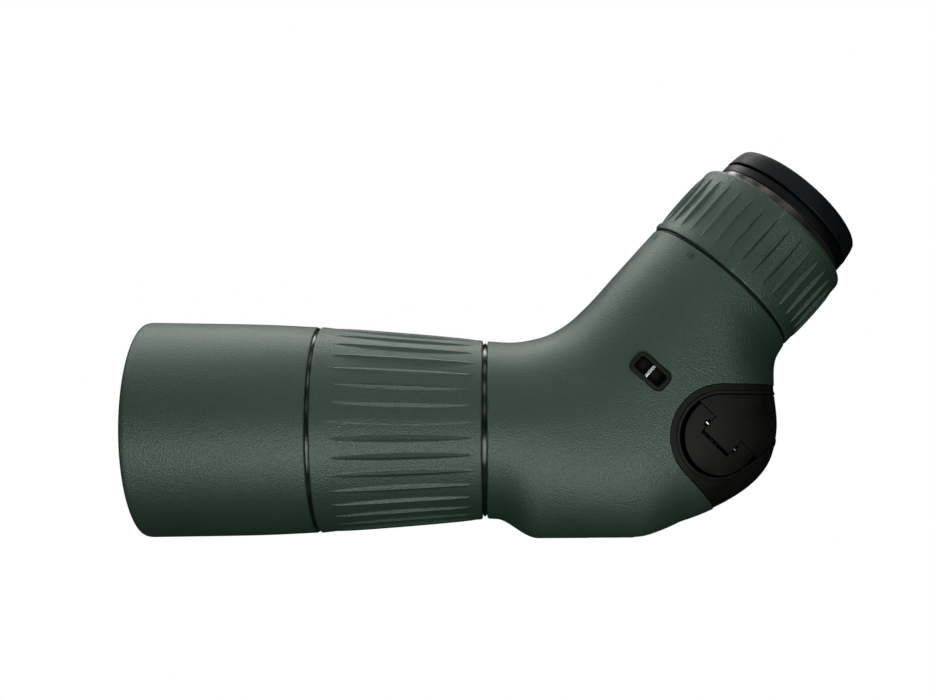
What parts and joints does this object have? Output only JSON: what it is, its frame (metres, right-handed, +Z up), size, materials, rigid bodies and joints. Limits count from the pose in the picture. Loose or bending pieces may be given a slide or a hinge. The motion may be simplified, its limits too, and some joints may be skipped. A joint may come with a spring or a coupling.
{
  "type": "spotting scope",
  "caption": "Angled spotting scope with ribbed focus and zoom rings, twist-out eyecup, tripod foot, strap lug and folding strap tongue.",
  "frame": {"origin": "middle of the tripod foot's bottom face", "axes": "+X from the objective to the rear, so the scope looks along -X; +Z up, away from the foot; the strap fittings are on the -Y side"},
  "size_m": [0.2797, 0.0856, 0.153],
  "materials": {
    "armour_rubber": "matt dark green, fine pebble grain",
    "black_rubber": "matt black, smooth moulded",
    "black_anodised": "satin black anodised",
    "bronze_anodised": "satin dark grey-brown anodised",
    "cast_metal": "fine cast and machined",
    "steel": "polished steel",
    "coated_glass": "multi-coated optical glass",
    "low_friction": "plain low-friction polymer"
  },
  "bodies": {
    "housing": {"objective_armour": "armour_rubber", "objective_barrel": "black_anodised", "front_bezel": "black_anodised", "lens_cell": "black_anodised", "lens_retaining_ring": "black_anodised", "objective_lens_front": "coated_glass", "lens_spacer_front": "black_anodised", "objective_lens_middle": "coated_glass", "lens_spacer_rear": "black_anodised", "objective_lens_rear": "coated_glass", "objective_o_ring": "black_rubber", "front_trim_ring": "black_anodised", "focus_guide_tube": "black_anodised", "focus_bearing_ring": "low_friction", "rear_trim_ring": "black_anodised", "ocular_barrel": "black_anodised", "zoom_trim_ring": "black_anodised", "field_stop": "black_anodised", "eyepiece_collar": "bronze_anodised", "eyecup_seat": "black_anodised", "eye_lens_cell": "black_anodised", "eye_lens": "coated_glass", "body_armour": "armour_rubber", "housing_casting": "cast_metal", "erecting_prism": "coated_glass", "prism_cradle": "black_anodised", "prism_clamp_spring": "steel", "tripod_foot_plate": "cast_metal", "tripod_thread_bush": "steel", "foot_screw_1": "steel", "foot_screw_2": "steel", "foot_screw_3": "steel", "foot_screw_4": "steel", "strap_lug_cup": "black_rubber", "strap_lug_pin": "steel", "rear_bumper": "black_rubber", "swivel_disc": "black_rubber", "tongue_hinge_pin": "steel"},
    "focus_ring": {"focus_grip_sleeve": "armour_rubber", "focus_ring_core": "black_anodised", "focus_cam_ring": "cast_metal"},
    "focus_cell": {"focus_lens_cell": "black_anodised", "focus_lens": "coated_glass", "focus_drive_pin_a": "steel", "focus_drive_pin_b": "steel"},
    "zoom_ring": {"zoom_grip_sleeve": "armour_rubber", "zoom_ring_core": "black_anodised", "zoom_cam_tube": "cast_metal"},
    "zoom_front_group": {"zoom_front_cell": "black_anodised", "zoom_front_lens": "coated_glass", "zoom_drive_pin_front": "steel"},
    "zoom_rear_group": {"zoom_rear_cell": "black_anodised", "zoom_rear_lens": "coated_glass", "zoom_drive_pin_rear": "steel"},
    "eyecup_guide": {"eyecup_guide_ring": "low_friction"},
    "eyecup": {"eyecup_core": "black_anodised", "eyecup_rubber": "black_rubber"},
    "strap_tongue": {"strap_tongue": "black_rubber"}
  },
  "joints": [
    {"name": "focus_ring_turn", "type": "hinge", "parent": "housing", "child": "focus_ring", "pos_m": [0, 0, 0.042], "axis": [1, 0, 0], "range_deg": [-150, 150]},
    {"name": "focus_cell_slide", "type": "slide", "parent": "housing", "child": "focus_cell", "axis": [1, 0, 0], "range_m": [-0.0061, 0.0061]},
    {"name": "zoom_ring_turn", "type": "hinge", "parent": "housing", "child": "zoom_ring", "pos_m": [0.0024, 0, 0.042], "axis": [0.6691, 0, 0.7431], "range_deg": [-60, 60]},
    {"name": "zoom_front_slide", "type": "slide", "parent": "housing", "child": "zoom_front_group", "axis": [0.6691, 0, 0.7431], "range_m": [-0.0031, 0.0031]},
    {"name": "zoom_rear_slide", "type": "slide", "parent": "housing", "child": "zoom_rear_group", "axis": [0.6691, 0, 0.7431], "range_m": [-0.0031, 0.0031]},
    {"name": "eyecup_extend", "type": "slide", "parent": "housing", "child": "eyecup_guide", "axis": [0.6691, 0, 0.7431], "range_m": [0, 0.008]},
    {"name": "eyecup_twist", "type": "hinge", "parent": "eyecup_guide", "child": "eyecup", "pos_m": [0.0024, 0, 0.042], "axis": [0.6691, 0, 0.7431], "range_deg": [0, 91]},
    {"name": "strap_tongue_fold", "type": "hinge", "parent": "housing", "child": "strap_tongue", "pos_m": [0.0486, -0.03067, 0.0398], "axis": [0.7116, 0.2881, -0.6408], "range_deg": [0, 100]}
  ],
  "couplings": [
    {"joint": "focus_cell_slide", "follows": "focus_ring_turn", "m_per_rad": 0.0022918},
    {"joint": "zoom_front_slide", "follows": "zoom_ring_turn", "m_per_rad": 0.0028648},
    {"joint": "zoom_rear_slide", "follows": "zoom_ring_turn", "m_per_rad": -0.0028648},
    {"joint": "eyecup_twist", "follows": "eyecup_extend", "rad_per_m": 196.35}
  ]
}
